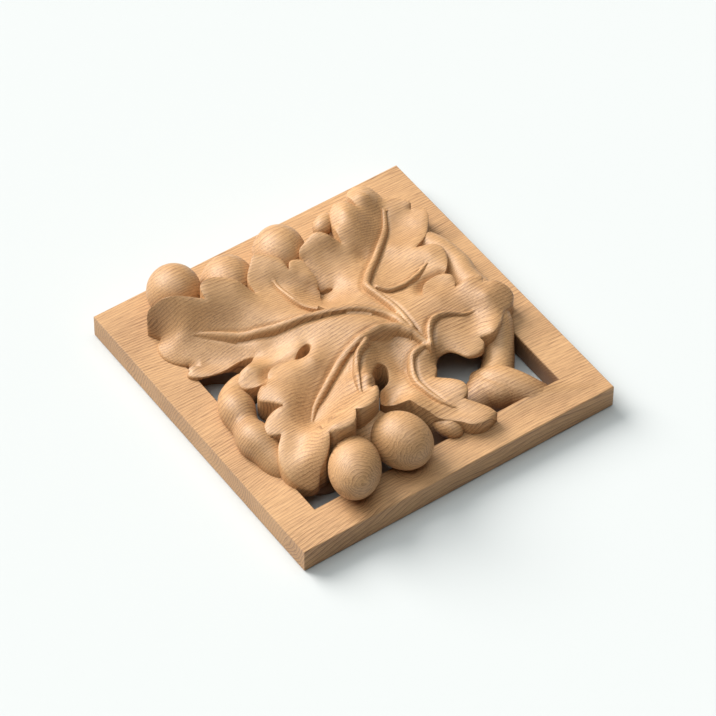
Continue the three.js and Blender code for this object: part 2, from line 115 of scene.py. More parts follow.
# Rim of the leaf, clockwise. Each scallop starts at its notch and runs to the next one.
RIM = [
    # left lobe, upper scallop
    [(-0.455, 0.268, 0.08), (-0.52, 0.283, 0.06), (-0.62, 0.278, 0.05), (-0.72, 0.292, 0.04),
        (-0.79, 0.325, 0.03), (-0.818, 0.352, 0.02), (-0.8, 0.395, 0.02)],
    # upper left lobe
    [(-0.76, 0.425, 0.04), (-0.81, 0.455, 0.02), (-0.845, 0.505, 0.015), (-0.855, 0.565, 0.015),
        (-0.83, 0.63, 0.02)],
    [(-0.785, 0.665, 0.03), (-0.797, 0.72, 0.05), (-0.78, 0.795, 0.11), (-0.72, 0.868, 0.19),
        (-0.63, 0.89, 0.25), (-0.55, 0.872, 0.28), (-0.475, 0.815, 0.28)],
    [(-0.425, 0.765, 0.265), (-0.4, 0.845, 0.29), (-0.345, 0.876, 0.3), (-0.27, 0.845, 0.28),
        (-0.205, 0.765, 0.25)],
    # upper middle lobe
    [(-0.182, 0.65, 0.19), (-0.165, 0.745, 0.21), (-0.09, 0.832, 0.23), (-0.03, 0.88, 0.24),
        (0.03, 0.835, 0.24), (0.072, 0.765, 0.225)],
    [(0.066, 0.69, 0.21), (0.1, 0.73, 0.21), (0.135, 0.722, 0.2)],
    [(0.163, 0.7, 0.19), (0.185, 0.765, 0.21), (0.25, 0.802, 0.22), (0.345, 0.826, 0.24),
        (0.385, 0.775, 0.23)],
    # upper right lobe
    [(0.402, 0.68, 0.17), (0.43, 0.8, 0.17), (0.48, 0.9, 0.18), (0.545, 0.948, 0.19),
        (0.603, 0.925, 0.2)],
    [(0.632, 0.868, 0.18), (0.635, 0.965, 0.16), (0.7, 0.99, 0.15), (0.765, 0.955, 0.15),
        (0.785, 0.88, 0.13)],
    [(0.79, 0.83, 0.12), (0.83, 0.81, 0.12), (0.875, 0.765, 0.12), (0.897, 0.722, 0.12)],
    [(0.865, 0.68, 0.1), (0.915, 0.665, 0.1), (0.933, 0.615, 0.11), (0.87, 0.52, 0.11),
        (0.81, 0.465, 0.12)],
    [(0.725, 0.428, 0.14), (0.77, 0.415, 0.14), (0.82, 0.395, 0.14), (0.845, 0.345, 0.14),
        (0.82, 0.27, 0.14), (0.77, 0.21, 0.15)],
    # right lobe
    [(0.72, 0.183, 0.15), (0.762, 0.155, 0.17), (0.755, 0.115, 0.16)],
    [(0.727, 0.072, 0.16), (0.79, 0.085, 0.18), (0.85, 0.082, 0.18), (0.892, 0.055, 0.17)],
    [(0.872, 0.018, 0.17), (0.93, -0.01, 0.17), (0.962, -0.08, 0.15), (0.955, -0.15, 0.12),
        (0.905, -0.205, 0.11), (0.845, -0.222, 0.12), (0.78, -0.275, 0.14), (0.7, -0.31, 0.15)],
    [(0.628, -0.297, 0.13), (0.618, -0.35, 0.11), (0.56, -0.388, 0.1), (0.49, -0.378, 0.1),
        (0.455, -0.325, 0.1), (0.425, -0.285, 0.1), (0.37, -0.275, 0.09), (0.33, -0.31, 0.085),
        (0.3, -0.36, 0.085)],
    # lower lobe
    [(0.262, -0.395, 0.085), (0.33, -0.455, 0.12), (0.366, -0.515, 0.13), (0.345, -0.575, 0.12)],
    [(0.3, -0.602, 0.11), (0.345, -0.675, 0.1), (0.375, -0.735, 0.09)],
    [(0.385, -0.785, 0.08), (0.3, -0.803, 0.09), (0.225, -0.775, 0.09)],
    [(0.195, -0.735, 0.09), (0.15, -0.69, 0.09), (0.106, -0.64, 0.1), (0.09, -0.56, 0.13),
        (0.069, -0.5, 0.15)],
    [(0.057, -0.45, 0.16), (-0.003, -0.436, 0.15), (-0.05, -0.42, 0.135)],
    # round the lower eye, from the lower lobe's face up to the lower left lobe's
    [(-0.085, -0.395, 0.12), (-0.066, -0.352, 0.11), (-0.02, -0.308, 0.1), (0.035, -0.283, 0.1),
        (0.065, -0.245, 0.095), (0.079, -0.2, 0.1), (0.061, -0.163, 0.115), (0.029, -0.168, 0.135),
        (0, -0.186, 0.18), (-0.013, -0.225, 0.24), (-0.025, -0.275, 0.29), (-0.05, -0.318, 0.31),
        (-0.1, -0.348, 0.325), (-0.1475, -0.356, 0.33), (-0.185, -0.351, 0.33)],
    # lower left lobe
    [(-0.213, -0.338, 0.32), (-0.235, -0.375, 0.33), (-0.275, -0.408, 0.33), (-0.34, -0.415, 0.32),
        (-0.39, -0.404, 0.31)],
    [(-0.414, -0.388, 0.3), (-0.455, -0.45, 0.26), (-0.53, -0.525, 0.19), (-0.615, -0.59, 0.11),
        (-0.67, -0.655, 0.045), (-0.72, -0.675, 0.015), (-0.755, -0.64, 0.02), (-0.777, -0.55, 0.06),
        (-0.76, -0.43, 0.1), (-0.71, -0.34, 0.13)],
    [(-0.635, -0.262, 0.15), (-0.69, -0.235, 0.14), (-0.7, -0.2, 0.14), (-0.65, -0.14, 0.15),
        (-0.59, -0.108, 0.16)],
    [(-0.515, -0.103, 0.18), (-0.555, -0.05, 0.17), (-0.6, 0, 0.15), (-0.575, 0.045, 0.15),
        (-0.53, 0.078, 0.16)],
    # left lobe, lower scallop
    [(-0.48, 0.09, 0.15), (-0.55, 0.085, 0.13), (-0.62, 0.11, 0.11), (-0.625, 0.165, 0.11),
        (-0.57, 0.22, 0.13), (-0.51, 0.24, 0.15)],
]

# Places inside the lobes where the leaf's face swells or sinks
SWELLS = [
    (-0.55, 0.68, 0.185), (-0.33, 0.64, 0.215), (-0.3, 0.5, 0.18), (-0.45, 0.56, 0.16),
    (-0.7, 0.62, 0.11), (-0.68, 0.37, 0.035), (-0.55, 0.38, 0.07), (-0.4, 0.32, 0.11),
    (-0.4, 0.2, 0.11), (-0.43, 0.075, 0.17), (-0.33, 0.075, 0.175), (-0.2, 0.07, 0.18),
    (-0.05, 0.74, 0.21), (0.28, 0.68, 0.175), (0.46, 0.79, 0.2), (0.55, 0.86, 0.225),
    (0.5, 0.66, 0.165), (0.6, 0.74, 0.165), (0.69, 0.91, 0.18), (0.84, 0.6, 0.11),
    (0.75, 0.33, 0.15), (0.82, -0.08, 0.18), (0.6, 0.06, 0.17), (-0.6, -0.4, 0.14),
    (-0.68, -0.53, 0.1), (-0.3, -0.35, 0.27), (-0.1, -0.28, 0.25), (0.2, -0.08, 0.12),
    (0.1, -0.08, 0.125), (0.15, -0.28, 0.07), (0.25, -0.42, 0.1),
    (0.11, -0.4, 0.11), (0.07, 0.5, 0.12), (0.26, 0.45, 0.13),
]

# Eyes pierced between the lobes
EYES = [
    [(-0.279, 0.126, 0.15), (-0.23, 0.169, 0.16), (-0.17, 0.184, 0.16), (-0.155, 0.165, 0.17),
        (-0.2, 0.124, 0.17), (-0.24, 0.117, 0.16)],
    [(0.119, 0.48, 0.12), (0.145, 0.463, 0.11), (0.178, 0.435, 0.1), (0.15, 0.43, 0.1),
        (0.12, 0.452, 0.105)],
]

# Raised veins: middle line, then widths and heights spread evenly along it
VEINS = [
    (
        [(-0.62, 0.575, 0.11), (-0.5, 0.486, 0.12), (-0.4, 0.421, 0.13), (-0.3, 0.382, 0.145),
            (-0.2, 0.357, 0.17), (-0.071, 0.336, 0.19), (0.05, 0.3, 0.2), (0.164, 0.254, 0.2),
            (0.257, 0.179, 0.185), (0.314, 0.086, 0.17), (0.336, -0.036, 0.17), (0.36, -0.12, 0.17),
            (0.38, -0.193, 0.17)],
        [0.012, 0.04, 0.045, 0.045, 0.05, 0.06, 0.05, 0.04],
        [0.004, 0.02, 0.03, 0.03, 0.03, 0.03, 0.03, 0.02],
    ),
    (
        [(0.021, 0.346, 0.17), (-0.021, 0.393, 0.16), (-0.046, 0.464, 0.16), (-0.056, 0.55, 0.165),
            (-0.054, 0.65, 0.18)],
        [0.042, 0.036, 0.022],
        [0.028, 0.026, 0.008],
    ),
    (
        [(0.357, -0.05, 0.17), (0.364, 0.071, 0.17), (0.361, 0.143, 0.17), (0.343, 0.25, 0.17),
            (0.332, 0.336, 0.165), (0.379, 0.393, 0.135), (0.49, 0.48, 0.11), (0.58, 0.551, 0.095),
            (0.6625, 0.63, 0.09), (0.73, 0.735, 0.1)],
        [0.04, 0.045, 0.045, 0.04, 0.026],
        [0.03, 0.03, 0.03, 0.026, 0.012],
    ),
    (
        [(0.375, 0.3, 0.16), (0.406, 0.251, 0.15), (0.489, 0.231, 0.14), (0.579, 0.244, 0.135),
            (0.692, 0.2925, 0.13)],
        [0.03, 0.035, 0.03, 0.015],
        [0.02, 0.025, 0.02, 0.005],
    ),
    (
        [(0.335, -0.06, 0.17), (0.286, 0, 0.18), (0.2, 0.032, 0.19), (0.114, 0.037, 0.19),
            (0.021, 0.02, 0.18), (-0.079, -0.021, 0.155), (-0.179, -0.082, 0.13), (-0.286, -0.15, 0.115),
            (-0.393, -0.221, 0.11), (-0.4475, -0.274, 0.115)],
        [0.06, 0.06, 0.05, 0.045, 0.04, 0.015],
        [0.03, 0.035, 0.035, 0.03, 0.025, 0.005],
    ),
    (
        [(0.1, 0.007, 0.19), (0.014, -0.036, 0.195), (-0.05, -0.107, 0.205), (-0.1, -0.193, 0.23),
            (-0.125, -0.271, 0.27)],
        [0.04, 0.042, 0.034, 0.014],
        [0.028, 0.03, 0.022, 0.004],
    ),
    (
        [(0.38, -0.193, 0.17), (0.412, -0.129, 0.17), (0.464, -0.074, 0.16), (0.521, -0.057, 0.155),
            (0.586, -0.077, 0.15), (0.65, -0.122, 0.14), (0.698, -0.132, 0.13)],
        [0.04, 0.04, 0.03, 0.015],
        [0.03, 0.03, 0.02, 0.004],
    ),
    (
        [(0.36, -0.16, 0.17), (0.305, -0.175, 0.16), (0.235, -0.215, 0.125), (0.179, -0.293, 0.095),
            (0.151, -0.395, 0.095), (0.166, -0.5, 0.1), (0.2, -0.5975, 0.1), (0.2225, -0.635, 0.09)],
        [0.03, 0.042, 0.04, 0.034, 0.012],
        [0.016, 0.028, 0.028, 0.022, 0.004],
    ),
]

# Creases where one lobe stands over its neighbour: line with the higher side on its right,
# and the steps spread evenly along it
CREASES = [
    ([(-0.485, 0.088, 0.15), (-0.45, 0.13, 0.15), (-0.4, 0.148, 0.15), (-0.33, 0.142, 0.155),
        (-0.279, 0.126, 0.15)], [0.03, 0.05, 0.05, 0.02]),
    ([(0.163, 0.69, 0.19), (0.155, 0.61, 0.17), (0.149, 0.555, 0.15), (0.1375, 0.5175, 0.14),
        (0.12, 0.478, 0.14)], [0.03, 0.035, 0.04]),
    ([(0.54, 0.11, 0.16), (0.565, 0.15, 0.16), (0.594, 0.178, 0.16), (0.65, 0.192, 0.155),
        (0.715, 0.184, 0.15)], [0.0, 0.05, 0.07, 0.07]),
    ([(-0.79, 0.395, 0.05), (-0.765, 0.418, 0.06), (-0.73, 0.425, 0.08), (-0.69, 0.42, 0.1)],
        [0.03, 0.03, 0.0]),
]

# Soft rises and dips of the leaf's face, left to this script: place, rise at its middle, and spread
DABS = [
    ((0.1, -0.12, 0.13), 0.025, 0.1), ((0.34, -0.2, 0.13), -0.035, 0.08),
    ((-0.45, -0.3, 0.13), -0.02, 0.07), ((-0.33, -0.34, 0.25), 0.02, 0.08),
    ((-0.45, -0.12, 0.14), 0.015, 0.08), ((-0.08, -0.12, 0.17), -0.02, 0.07),
    ((0.1, 0.56, 0.15), 0.02, 0.05), ((-0.02, 0.62, 0.17), -0.015, 0.06),
    ((-0.35, 0.52, 0.18), -0.025, 0.1), ((-0.3, 0.28, 0.12), -0.02, 0.07),
    ((0.62, 0.5, 0.11), 0.02, 0.07), ((0.8, 0.6, 0.11), -0.012, 0.08),
    ((0.42, 0.66, 0.17), 0.012, 0.06), ((0.45, 0.53, 0.12), -0.015, 0.05),
    ((0.71, 0.87, 0.16), 0.025, 0.06), ((0.78, 0.73, 0.11), 0.012, 0.05),
    ((0.65, -0.22, 0.14), -0.02, 0.08), ((0.12, 0.4, 0.15), -0.02, 0.05),
    ((-0.73, 0.6, 0.05), -0.012, 0.05), ((-0.71, 0.7, 0.06), 0.01, 0.05),
]

# Stalks under the leaf: middle line in plan with its height, and the radius there
STALKS = [
    # left stalk, from its knuckle under the left lobe
    [(-0.56, 0.08, 0.01, 0.085), (-0.66, 0.085, 0.02, 0.085), (-0.728, 0.053, 0.03, 0.09),
        (-0.763, -0.036, 0.05, 0.092), (-0.786, -0.144, 0.04, 0.084), (-0.801, -0.244, 0.05, 0.093),
        (-0.793, -0.322, 0.04, 0.096), (-0.777, -0.418, 0, 0.086), (-0.727, -0.495, -0.06, 0.08),
        (-0.65, -0.55, -0.09, 0.08), (-0.55, -0.58, -0.12, 0.08)],
    # right stalk, curving in under the lower lobe
    [(0.76, 0.39, 0.02, 0.085), (0.795, 0.27, 0.03, 0.085), (0.805, 0.16, 0.03, 0.083),
        (0.785, 0.06, 0.03, 0.085), (0.79, -0.06, 0.03, 0.088), (0.78, -0.18, 0.03, 0.09),
        (0.735, -0.3, 0.025, 0.09), (0.675, -0.4, -0.01, 0.09), (0.612, -0.488, -0.04, 0.088),
        (0.54, -0.56, -0.05, 0.1), (0.45, -0.6, -0.07, 0.11), (0.35, -0.62, -0.08, 0.1),
        (0.25, -0.6, -0.09, 0.09)],
    # its foot, flaring out on to the corner of the frame
    [(0.45, -0.52, -0.09, 0.08), (0.51, -0.59, -0.04, 0.1), (0.56, -0.66, -0.05, 0.11),
        (0.63, -0.75, -0.08, 0.105), (0.7, -0.83, -0.13, 0.1)],
]

# Hollows under the leaf, written like the acorns
HOLLOWS = [
    # under the tongue of the lower left lobe
    (-0.77, -0.78, -0.18, 0.15, 0.2, 55, 0),
    # under the right lobe's lower edge
    (0.388, -0.453, -0.1, 0.19, 0.19, 0, 0),
    # under the left lobe, and between it and the lower left lobe
    (-0.75, 0.14, -0.1, 0.13, 0.2, 140, 0),
    (-0.66, -0.09, -0.1, 0.15, 0.19, 60, 0),
    (-0.68, -0.28, -0.1, 0.12, 0.16, 60, 0),
]

# Acorns and buds: middle as seen, with its height, then the radius, the half length,
# and the heading of the long axis in plan and its dip, in degrees
ACORNS = [
    (-0.54, 0.9, 0.12, 0.15, 0.155, 240, 0),
    (-0.27, 0.783, 0.08, 0.15, 0.165, 240, 0),
    (0.08, 0.805, 0.08, 0.15, 0.175, 240, 0),
    (-0.455, -0.675, 0.14, 0.14, 0.185, 235, 0),
    (-0.145, -0.662, 0.13, 0.15, 0.175, 290, 5),
    (-0.25, -0.54, 0.06, 0.13, 0.16, 290, 5),
    (0.112, -0.722, 0.02, 0.062, 0.09, 291, 5),
    (0.4, 0.845, 0.12, 0.055, 0.08, 30, 0),
]

# Soft web between the right stalk and its foot, written like the acorns
WEB = (0.444, -0.677, -0.05, 0.097, 0.14, 315, 0)


def place(point):
    """A point of the carving, in shares, with its height over the back."""
    x, y, z = point
    return (x - z * SIGHT_X, y - z * SIGHT_Y, FRAME_THICKNESS + z)


def smooth(points, steps, closed=False):
    """A centripetal curve through the points, like the one that the solids use."""
    points = [np.array(p, float) for p in points]
    count = len(points)
    spans = count if closed else count - 1
    found = []
    for index in range(spans):
        here = points[index]
        there = points[(index + 1) % count]
        before = points[index - 1] if closed or index > 0 else 2 * here - there
        last = index + 2 >= count
        after = 2 * there - here if last and not closed else points[(index + 2) % count]
        knots = [0.0]
        for a, b in ((before, here), (here, there), (there, after)):
            knots.append(knots[-1] + max(np.linalg.norm(b - a), TINY) ** 0.5)
        k0, k1, k2, k3 = knots
        for share in np.arange(steps) / steps:
            t = k1 + (k2 - k1) * share
            a1 = (k1 - t) / (k1 - k0) * before + (t - k0) / (k1 - k0) * here
            a2 = (k2 - t) / (k2 - k1) * here + (t - k1) / (k2 - k1) * there
            a3 = (k3 - t) / (k3 - k2) * there + (t - k2) / (k3 - k2) * after
            b1 = (k2 - t) / (k2 - k0) * a1 + (t - k0) / (k2 - k0) * a2
            b2 = (k3 - t) / (k3 - k1) * a2 + (t - k1) / (k3 - k1) * a3
            found.append((k2 - t) / (k2 - k1) * b1 + (t - k1) / (k2 - k1) * b2)
    if not closed:
        found.append(points[-1])
    return np.array(found)


def spread(values, share):
    """The value at each share of the way through values that are spread evenly."""
    return np.interp(share, np.linspace(0, 1, len(values)), values)


def resample(points, spacing):
    """Points at even distances along a line."""
    steps = np.linalg.norm(np.diff(points[:, :2], axis=0), axis=1)
    along = np.concatenate([[0], np.cumsum(steps)])
    count = max(int(round(along[-1] / spacing)), 2)
    wanted = np.linspace(0, along[-1], count + 1)
    return np.column_stack([np.interp(wanted, along, points[:, k]) for k in range(points.shape[1])])


def rim_line():
    """The outline of the leaf from notch to notch."""
    points = []
    for index, scallop in enumerate(RIM):
        notch = RIM[(index + 1) % len(RIM)][0]
        curve = smooth([place(p) for p in scallop + [notch]], RIM_STEPS)
        points.append(resample(curve, LEAF_SPACING)[:-1])
    return np.vstack(points)


def eye_line(eye):
    """The outline of one eye."""
    curve = smooth([place(p) for p in eye], RIM_STEPS, closed=True)
    return resample(np.vstack([curve, curve[:1]]), LEAF_SPACING)[:-1]


def face_line(line):
    """A vein's or a crease's middle line as a curve."""
    return smooth([place(p) for p in line], RIM_STEPS)


def bend(square):
    """The height of a thin plate held at one point, from the squared distance to it."""
    return square * np.log(np.where(square > 0, square, 1))


class BentPlate:
    """A thin plate bent through points, a little softly, like the one that the solids use."""

    def __init__(self, points):
        self.points = points[:, :2]
        count = len(points)
        gaps = self.points[:, None] - self.points[None]
        rows = np.zeros((count + 3, count + 3))
        rows[:count, :count] = bend((gaps ** 2).sum(-1)) + FACE_SOFTNESS * np.eye(count)
        rows[:count, count] = 1
        rows[:count, count + 1:] = self.points
        rows[count:, :count] = rows[:count, count:].T
        self.weights = np.linalg.solve(rows, np.concatenate([points[:, 2], np.zeros(3)]))

    def height(self, places):
        """The plate's height at each place."""
        found = []
        for part in np.array_split(places[:, :2], max(len(places) // BATCH, 1)):
            square = ((part[:, None] - self.points[None]) ** 2).sum(-1)
            plane = self.weights[-3] + part @ self.weights[-2:]
            found.append(bend(square) @ self.weights[:-3] + plane)
        return np.concatenate(found)


def line_distance(places, line, closed=False):
    """Each place's distance to a line, how far along the nearest point is, and the side it lies on."""
    ends = np.vstack([line, line[:1]]) if closed else line
    ends = ends[:, :2]
    lengths = np.linalg.norm(np.diff(ends, axis=0), axis=1)
    along = np.concatenate([[0], np.cumsum(lengths)])
    distance = np.full(len(places), np.inf)
    share = np.zeros(len(places))
    side = np.zeros(len(places))
    for index, length in enumerate(lengths):
        if length < TINY:
            continue
        start = ends[index]
        step = (ends[index + 1] - start) / length
        offset = places - start
        run = np.clip(offset @ step, 0, length)
        apart = offset - run[:, None] * step
        gap = np.hypot(apart[:, 0], apart[:, 1])
        nearer = gap < distance
        distance[nearer] = gap[nearer]
        share[nearer] = (along[index] + run[nearer]) / along[-1]
        side[nearer] = (step[0] * offset[:, 1] - step[1] * offset[:, 0])[nearer]
    return distance, share, np.sign(side)


def rim_gap(places, loops):
    """Each place's distance to the nearest rim."""
    gap = np.full(len(places), np.inf)
    for loop in loops:
        gap = np.minimum(gap, line_distance(places, loop, closed=True)[0])
    return gap


def inside(places, line):
    """Which places lie inside a closed line."""
    result = np.zeros(len(places), bool)
    x, y = places[:, 0], places[:, 1]
    ahead = np.roll(line, -1, axis=0)
    for (x0, y0), (x1, y1) in zip(line[:, :2], ahead[:, :2]):
        if y0 == y1:
            continue
        crosses = (y0 > y) != (y1 > y)
        result ^= crosses & (x < (x1 - x0) * (y - y0) / (y1 - y0) + x0)
    return result


def on_leaf(places, loops):
    """Which places lie inside the first loop and outside the others."""
    keep = inside(places, loops[0])
    for eye in loops[1:]:
        keep &= ~inside(places, eye)
    return keep


def vein_rise(places, veins):
    """How far the veins stand over the leaf's face at each place, with a groove on each side."""
    ridge = np.zeros(len(places))
    groove = np.zeros(len(places))
    for line, widths, heights in veins:
        distance, share, _ = line_distance(places, line)
        height = spread(heights, share)
        across = distance / (spread(widths, share) / 2)
        ridge = np.maximum(ridge, height * np.sqrt(np.clip(1 - across ** 2, 0, 1)))
        beside = np.exp(-((across - GROOVE_PLACE) / GROOVE_WIDTH) ** 2)
        groove = np.maximum(groove, GROOVE_DEPTH * height * beside)
    return np.where(ridge > 0, ridge, -groove)


def crease_step(places, creases):
    """How far the creases lift the face on their right side and sink it on their left."""
    lift = np.zeros(len(places))
    for line, steps in creases:
        distance, share, side = line_distance(places, line)
        near = np.exp(-(distance / CREASE_REACH) ** 2) * (distance < CREASE_END * CREASE_REACH)
        lift += np.where(side < 0, CREASE_RISE, -CREASE_SINK) * spread(steps, share) * near
    return lift


def dab_rise(places):
    """How far the soft rises and dips move the face at each place."""
    rise = np.zeros(len(places))
    for middle, height, width in DABS:
        x, y, _ = place(middle)
        distance = np.hypot(places[:, 0] - x, places[:, 1] - y)
        rise += height * np.exp(-(distance / width) ** 2)
    return rise


def rows_beside(line, along, offsets, width):
    """Rows of places beside a line, at the offsets times its width, from the directions along it."""
    across = np.column_stack([along[:, 1], -along[:, 0]])
    across /= np.maximum(np.linalg.norm(across, axis=1), TINY)[:, None]
    return [line[:, :2] + offset * width * across for offset in offsets]


def rim_rows(loops):
    """Places beside the rims."""
    rows = []
    for loop in loops:
        along = (np.roll(loop, -1, axis=0) - np.roll(loop, 1, axis=0))[:, :2]
        for offset in RIM_ROWS:
            rows += rows_beside(loop, along, (offset, -offset), RIM_ARRIS)
    return np.vstack(rows)


def even_grid(reach):
    """Places in staggered lines, as far apart as the leaf's spacing."""
    columns = np.arange(-reach, reach, LEAF_SPACING)
    lines = np.arange(-reach, reach, LEAF_SPACING * math.sqrt(3) / 2)
    grid_x, grid_y = np.meshgrid(columns, lines)
    grid_x[1::2] += LEAF_SPACING / 2
    return np.column_stack([grid_x.ravel(), grid_y.ravel()])


def leaf_points(loops, veins, creases):
    """Places for the leaf's face: rows beside the rims, veins and creases, and an even grid between."""
    rim = loops[0]
    by_rims = rim_rows(loops)
    by_rims = by_rims[on_leaf(by_rims, loops)]
    by_rims = by_rims[rim_gap(by_rims, loops) > RIM_ROW_CLEARANCE * RIM_ROWS[0] * RIM_ARRIS]
    grid = even_grid(np.abs(rim[:, :2]).max() + LEAF_SPACING)
    grid = grid[on_leaf(grid, loops)]
    grid = grid[rim_gap(grid, loops) > RIM_ARRIS + GRID_RIM_CLEARANCE * LEAF_SPACING]
    rows = []
    for line, widths, _ in veins:
        even = resample(np.column_stack([line, np.linspace(0, 1, len(line))]), VEIN_SPACING)
        half = (spread(widths, even[:, 3]) / 2)[:, None]
        rows += rows_beside(even, np.gradient(even[:, :2], axis=0), VEIN_ROWS, half)
        distance, share, _ = line_distance(grid, line)
        grid = grid[distance > GRID_VEIN_CLEARANCE * spread(widths, share) / 2]
    for line, _ in creases:
        even = resample(line, VEIN_SPACING)
        rows += rows_beside(even, np.gradient(even[:, :2], axis=0), CREASE_ROWS, CREASE_WIDTH)
        distance, _, _ = line_distance(grid, line)
        grid = grid[distance > GRID_CREASE_CLEARANCE * CREASE_WIDTH]
    by_veins = np.vstack(rows)
    by_veins = by_veins[inside(by_veins, rim)]
    by_veins = by_veins[rim_gap(by_veins, loops) > VEIN_ROW_CLEARANCE * RIM_ARRIS]
    return np.vstack([by_rims, by_veins, grid])


def triangulate(loops, places):
    """Triangles over the places, kept where they lie inside the first loop and outside the others."""
    points = [Vector(p) for p in np.vstack([loop[:, :2] for loop in loops] + [places]).tolist()]
    edges = []
    start = 0
    for loop in loops:
        count = len(loop)
        edges += [(start + k, start + (k + 1) % count) for k in range(count)]
        start += count
    corners, _, triangles, _, _, _ = delaunay_2d_cdt(points, edges, [], 0, 10 ** -DIGITS)
    corners = np.array([(v.x, v.y) for v in corners])
    triangles = np.array(triangles)
    return corners, triangles[on_leaf(corners[triangles].mean(axis=1), loops)]


def leaf_mesh():
    """The leaf: a face bent through its rims, veins and swells, with its relief, and a flat back."""
    loops = [rim_line()] + [eye_line(eye) for eye in EYES]
    veins = [(face_line(line), widths, heights) for line, widths, heights in VEINS]
    creases = [(face_line(line), steps) for line, steps in CREASES]
    keys = [p for loop in RIM + EYES for p in loop]
    keys += [p for line, _, _ in VEINS for p in line]
    face = BentPlate(np.array([place(p) for p in keys + SWELLS]))
    corners, triangles = triangulate(loops, leaf_points(loops, veins, creases))
    gap = rim_gap(corners, loops)
    inward = np.clip(1 - gap / RIM_ARRIS, 0, 1)
    arris = RIM_ARRIS * (1 - np.sqrt(1 - inward ** 2)) * ARRIS_DEPTH
    shoulder = SHOULDER * np.exp(-(gap / SHOULDER_REACH) ** 2)
    fade = np.clip((gap - RIM_ARRIS) / VEIN_FADE, 0, 1)
    height = face.height(corners) + dab_rise(corners) + crease_step(corners, creases)
    height -= arris + shoulder
    height += vein_rise(corners, veins) * fade
    return closed_relief(corners, triangles, height)


def corner_key(corner):
    """A corner's place, rounded, by which the same corner is found again."""
    return (round(float(corner[0]), DIGITS), round(float(corner[1]), DIGITS))


def border_rings(border):
    """Closed rings of corners from the border's edges."""
    following = dict(border)
    left = set(following)
    rings = []
    while left:
        start = left.pop()
        ring = [start]
        step = following[start]
        while step != start:
            ring.append(step)
            left.discard(step)
            step = following[step]
        rings.append(ring)
    return rings


def area(loop):
    """The area inside a closed line."""
    ahead = np.roll(loop, -1, axis=0)
    return 0.5 * abs((loop[:, 0] * ahead[:, 1] - loop[:, 1] * ahead[:, 0]).sum())


def closed_relief(corners, triangles, height):
    """A closed mesh: the face, straight walls down from its rims, and a flat back."""
    points = [tuple(p) for p in np.column_stack([corners, height])]
    faces = [tuple(t) for t in triangles]
    edges = [edge for a, b, c in faces for edge in ((a, b), (b, c), (c, a))]
    known = set(edges)
    border = [(a, b) for a, b in edges if (b, a) not in known]
    below = {}
    for a, b in border:
        for corner in (a, b):
            if corner not in below:
                below[corner] = len(points)
                points.append((corners[corner][0], corners[corner][1], 0.0))
        faces.append((b, a, below[a], below[b]))
    lookup = {corner_key(corners[corner]): under for corner, under in below.items()}
    loops = [corners[ring] for ring in border_rings(border)]
    loops.sort(key=area, reverse=True)
    flat, back = triangulate(loops, np.zeros((0, 2)))
    for triangle in back:
        faces.append(tuple(lookup[corner_key(flat[corner])] for corner in reversed(triangle)))
    return points, faces


def sweep_mesh(rings):
    """A closed mesh through rings of points."""
    size = len(rings[0])
    points = [tuple(p) for ring in rings for p in ring]
    faces = []
    for ring in range(len(rings) - 1):
        for side in range(size):
            a = ring * size + side
            b = ring * size + (side + 1) % size
            faces.append((a, b, b + size, a + size))
    faces.append(tuple(reversed(range(size))))
    last = (len(rings) - 1) * size
    faces.append(tuple(range(last, last + size)))
    return points, faces


def stalk_mesh(route, knot_rise):
    """A round stalk along its route, with low knots, and cut flat by the back plane."""
    middle = smooth([(x, y, FRAME_THICKNESS + z, radius) for x, y, z, radius in route], STALK_STEPS)
    middle = resample(middle, STALK_SPACING)
    along = np.gradient(middle[:, :3], axis=0)
    along /= np.linalg.norm(along, axis=1)[:, None]
    across = np.cross(along, (0, 0, 1))
    across /= np.linalg.norm(across, axis=1)[:, None]
    over = np.cross(across, along)
    steps = np.linalg.norm(np.diff(middle[:, :3], axis=0), axis=1)
    length = np.concatenate([[0], np.cumsum(steps)])
    radii = middle[:, 3] * (1 + knot_rise * np.sin(2 * math.pi * KNOTS * length))
    turns = -np.arange(STALK_FACES) / STALK_FACES * 2 * math.pi
    rings = []
    for point, side, top, radius in zip(middle, across, over, radii):
        ring = [point[:3] + radius * (math.cos(t) * side + math.sin(t) * top) for t in turns]
        rings.append([(x, y, max(z, 0.0)) for x, y, z in ring])
    return sweep_mesh(rings)


def egg_mesh(egg):
    """An egg lying with its tip towards a heading in plan, in degrees, and dipping."""
    x, y, z, radius, half_length, heading, dip = egg
    middle = Vector(place((x, y, z)))
    turn = Matrix.Rotation(math.radians(heading), 3, "Z") @ Matrix.Rotation(math.radians(90 + dip), 3, "Y")
    points = [middle + turn @ Vector((0, 0, -half_length))]
    for ring in range(1, ACORN_RINGS):
        level = ring / ACORN_RINGS * math.pi
        width = radius * math.sin(level)
        for face in range(ACORN_FACES):
            at = face / ACORN_FACES * 2 * math.pi
            local = Vector((width * math.cos(at), width * math.sin(at), -half_length * math.cos(level)))
            points.append(middle + turn @ local)
    points.append(middle + turn @ Vector((0, 0, half_length)))
    top = len(points) - 1
    faces = []
    for face in range(ACORN_FACES):
        after = (face + 1) % ACORN_FACES
        faces.append((0, 1 + after, 1 + face))
        for ring in range(ACORN_RINGS - 2):
            a = 1 + ring * ACORN_FACES
            faces.append((a + face, a + after, a + ACORN_FACES + after, a + ACORN_FACES + face))
        last = 1 + (ACORN_RINGS - 2) * ACORN_FACES
        faces.append((last + face, last + after, top))
    return [tuple(p) for p in points], faces


def square_corners(half, height):
    """The corners of a square round the middle, at one height."""
    return [(-half, -half, height), (half, -half, height), (half, half, height), (-half, half, height)]


